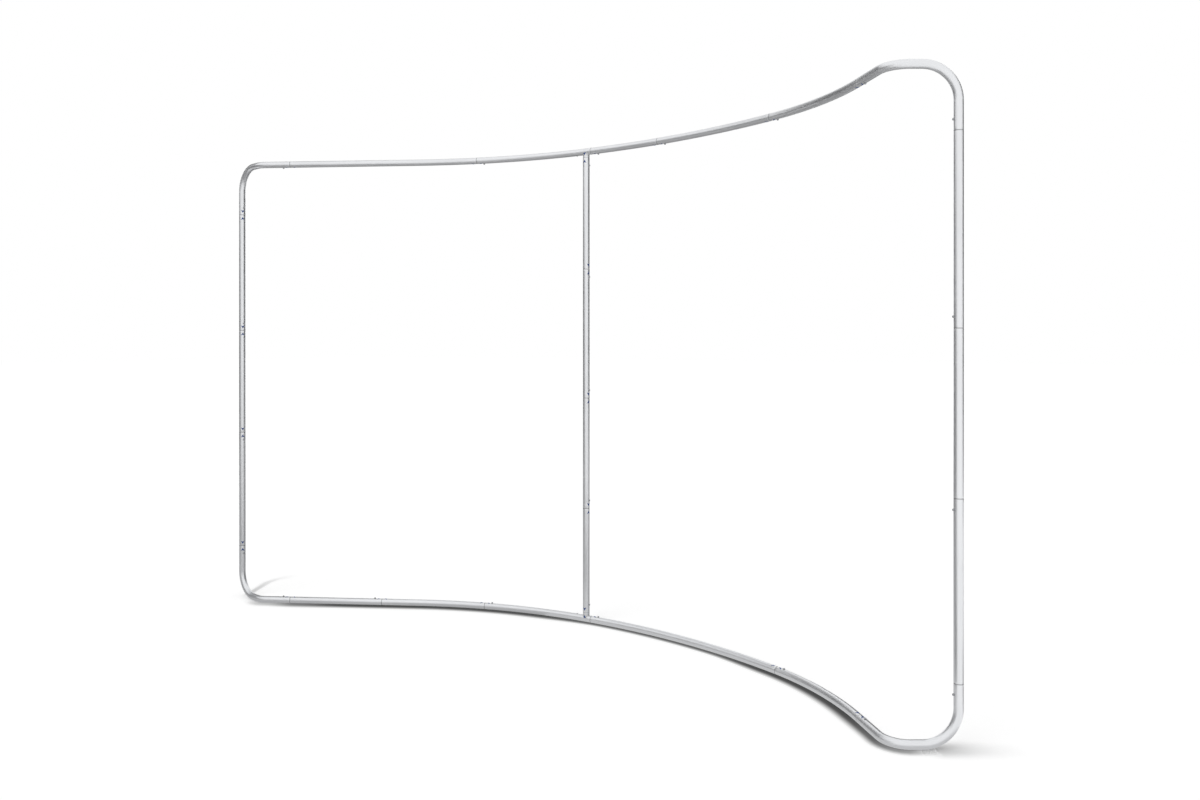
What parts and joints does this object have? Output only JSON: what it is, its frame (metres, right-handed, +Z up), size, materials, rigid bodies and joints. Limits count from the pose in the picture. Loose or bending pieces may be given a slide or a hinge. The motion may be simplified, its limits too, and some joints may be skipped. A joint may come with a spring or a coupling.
{
  "type": "display backwall frame",
  "caption": "Free-standing curved tube frame that a fabric display cover stretches over. Its tubes plug together and lock with spring buttons.",
  "frame": {"origin": "middle of the frame's box at floor level", "axes": "+Z up, +X along the width to the viewer's right, -Y toward the hollow side of the curve, which faces the viewer"},
  "size_m": [3.6298, 0.6987, 2.286],
  "materials": {
    "tube": "satin",
    "button": "satin",
    "clip": "satin",
    "arrow_film": "satin film",
    "rivet": "satin"
  },
  "bodies": {
    "frame": {"top_rail_far_left": "tube", "top_rail_tee": "tube", "top_rail_middle_right": "tube", "top_rail_right": "tube", "top_rail_far_right": "tube", "bottom_rail_far_left": "tube", "bottom_rail_left": "tube", "bottom_rail_tee": "tube", "bottom_rail_right": "tube", "bottom_rail_far_right": "tube", "corner_top_left": "tube", "corner_top_right": "tube", "corner_bottom_left": "tube", "corner_bottom_right": "tube", "left_post_upper": "tube", "left_post_middle": "tube", "left_post_lower": "tube", "middle_post_top": "tube", "middle_post_upper": "tube", "middle_post_lower": "tube", "middle_post_bottom": "tube", "right_post_upper": "tube", "right_post_middle": "tube", "right_post_lower": "tube", "spring_clips_top_rail": "clip", "spring_clips_bottom_rail": "clip", "spring_clips_posts": "clip", "arrows_top_rail": "arrow_film", "arrows_bottom_rail": "arrow_film", "arrows_left_post": "arrow_film", "arrows_middle_post": "arrow_film", "arrows_right_post": "arrow_film", "tee_rivets": "rivet"},
    "button_top_rail_1": {"button_top_rail_1": "button"},
    "button_top_rail_2": {"button_top_rail_2": "button"},
    "button_top_rail_3": {"button_top_rail_3": "button"},
    "button_top_rail_4": {"button_top_rail_4": "button"},
    "button_top_rail_5": {"button_top_rail_5": "button"},
    "button_top_rail_6": {"button_top_rail_6": "button"},
    "button_bottom_rail_1": {"button_bottom_rail_1": "button"},
    "button_bottom_rail_2": {"button_bottom_rail_2": "button"},
    "button_bottom_rail_3": {"button_bottom_rail_3": "button"},
    "button_bottom_rail_4": {"button_bottom_rail_4": "button"},
    "button_bottom_rail_5": {"button_bottom_rail_5": "button"},
    "button_bottom_rail_6": {"button_bottom_rail_6": "button"},
    "button_left_post_1": {"button_left_post_1": "button"},
    "button_left_post_2": {"button_left_post_2": "button"},
    "button_left_post_3": {"button_left_post_3": "button"},
    "button_left_post_4": {"button_left_post_4": "button"},
    "button_middle_post_1": {"button_middle_post_1": "button"},
    "button_middle_post_2": {"button_middle_post_2": "button"},
    "button_middle_post_3": {"button_middle_post_3": "button"},
    "button_middle_post_4": {"button_middle_post_4": "button"},
    "button_middle_post_5": {"button_middle_post_5": "button"},
    "button_right_post_1": {"button_right_post_1": "button"},
    "button_right_post_2": {"button_right_post_2": "button"},
    "button_right_post_3": {"button_right_post_3": "button"},
    "button_right_post_4": {"button_right_post_4": "button"}
  },
  "joints": [
    {"name": "press_top_rail_1", "type": "slide", "parent": "frame", "child": "button_top_rail_1", "axis": [0, 0, 1], "range_m": [0, 0.0075], "stiffness_N_per_m": 2500, "springref_m": -0.001},
    {"name": "press_top_rail_2", "type": "slide", "parent": "frame", "child": "button_top_rail_2", "axis": [0, 0, 1], "range_m": [0, 0.0075], "stiffness_N_per_m": 2500, "springref_m": -0.001},
    {"name": "press_top_rail_3", "type": "slide", "parent": "frame", "child": "button_top_rail_3", "axis": [0, 0, 1], "range_m": [0, 0.0075], "stiffness_N_per_m": 2500, "springref_m": -0.001},
    {"name": "press_top_rail_4", "type": "slide", "parent": "frame", "child": "button_top_rail_4", "axis": [0, 0, 1], "range_m": [0, 0.0075], "stiffness_N_per_m": 2500, "springref_m": -0.001},
    {"name": "press_top_rail_5", "type": "slide", "parent": "frame", "child": "button_top_rail_5", "axis": [0, 0, 1], "range_m": [0, 0.0075], "stiffness_N_per_m": 2500, "springref_m": -0.001},
    {"name": "press_top_rail_6", "type": "slide", "parent": "frame", "child": "button_top_rail_6", "axis": [0, 0, 1], "range_m": [0, 0.0075], "stiffness_N_per_m": 2500, "springref_m": -0.001},
    {"name": "press_bottom_rail_1", "type": "slide", "parent": "frame", "child": "button_bottom_rail_1", "axis": [0, 0, -1], "range_m": [0, 0.0075], "stiffness_N_per_m": 2500, "springref_m": -0.001},
    {"name": "press_bottom_rail_2", "type": "slide", "parent": "frame", "child": "button_bottom_rail_2", "axis": [0, 0, -1], "range_m": [0, 0.0075], "stiffness_N_per_m": 2500, "springref_m": -0.001},
    {"name": "press_bottom_rail_3", "type": "slide", "parent": "frame", "child": "button_bottom_rail_3", "axis": [0, 0, -1], "range_m": [0, 0.0075], "stiffness_N_per_m": 2500, "springref_m": -0.001},
    {"name": "press_bottom_rail_4", "type": "slide", "parent": "frame", "child": "button_bottom_rail_4", "axis": [0, 0, -1], "range_m": [0, 0.0075], "stiffness_N_per_m": 2500, "springref_m": -0.001},
    {"name": "press_bottom_rail_5", "type": "slide", "parent": "frame", "child": "button_bottom_rail_5", "axis": [0, 0, -1], "range_m": [0, 0.0075], "stiffness_N_per_m": 2500, "springref_m": -0.001},
    {"name": "press_bottom_rail_6", "type": "slide", "parent": "frame", "child": "button_bottom_rail_6", "axis": [0, 0, -1], "range_m": [0, 0.0075], "stiffness_N_per_m": 2500, "springref_m": -0.001},
    {"name": "press_left_post_1", "type": "slide", "parent": "frame", "child": "button_left_post_1", "axis": [-0.9802, 0.1979, 0], "range_m": [0, 0.0075], "stiffness_N_per_m": 2500, "springref_m": -0.001},
    {"name": "press_left_post_2", "type": "slide", "parent": "frame", "child": "button_left_post_2", "axis": [-0.9802, 0.1979, 0], "range_m": [0, 0.0075], "stiffness_N_per_m": 2500, "springref_m": -0.001},
    {"name": "press_left_post_3", "type": "slide", "parent": "frame", "child": "button_left_post_3", "axis": [-0.9802, 0.1979, 0], "range_m": [0, 0.0075], "stiffness_N_per_m": 2500, "springref_m": -0.001},
    {"name": "press_left_post_4", "type": "slide", "parent": "frame", "child": "button_left_post_4", "axis": [-0.9802, 0.1979, 0], "range_m": [0, 0.0075], "stiffness_N_per_m": 2500, "springref_m": -0.001},
    {"name": "press_middle_post_1", "type": "slide", "parent": "frame", "child": "button_middle_post_1", "axis": [-1, 0, 0], "range_m": [0, 0.0075], "stiffness_N_per_m": 2500, "springref_m": -0.001},
    {"name": "press_middle_post_2", "type": "slide", "parent": "frame", "child": "button_middle_post_2", "axis": [-1, 0, 0], "range_m": [0, 0.0075], "stiffness_N_per_m": 2500, "springref_m": -0.001},
    {"name": "press_middle_post_3", "type": "slide", "parent": "frame", "child": "button_middle_post_3", "axis": [-1, 0, 0], "range_m": [0, 0.0075], "stiffness_N_per_m": 2500, "springref_m": -0.001},
    {"name": "press_middle_post_4", "type": "slide", "parent": "frame", "child": "button_middle_post_4", "axis": [-1, 0, 0], "range_m": [0, 0.0075], "stiffness_N_per_m": 2500, "springref_m": -0.001},
    {"name": "press_middle_post_5", "type": "slide", "parent": "frame", "child": "button_middle_post_5", "axis": [-1, 0, 0], "range_m": [0, 0.0075], "stiffness_N_per_m": 2500, "springref_m": -0.001},
    {"name": "press_right_post_1", "type": "slide", "parent": "frame", "child": "button_right_post_1", "axis": [0.864, 0.5034, 0], "range_m": [0, 0.0075], "stiffness_N_per_m": 2500, "springref_m": -0.001},
    {"name": "press_right_post_2", "type": "slide", "parent": "frame", "child": "button_right_post_2", "axis": [0.864, 0.5034, 0], "range_m": [0, 0.0075], "stiffness_N_per_m": 2500, "springref_m": -0.001},
    {"name": "press_right_post_3", "type": "slide", "parent": "frame", "child": "button_right_post_3", "axis": [0.864, 0.5034, 0], "range_m": [0, 0.0075], "stiffness_N_per_m": 2500, "springref_m": -0.001},
    {"name": "press_right_post_4", "type": "slide", "parent": "frame", "child": "button_right_post_4", "axis": [0.864, 0.5034, 0], "range_m": [0, 0.0075], "stiffness_N_per_m": 2500, "springref_m": -0.001}
  ]
}
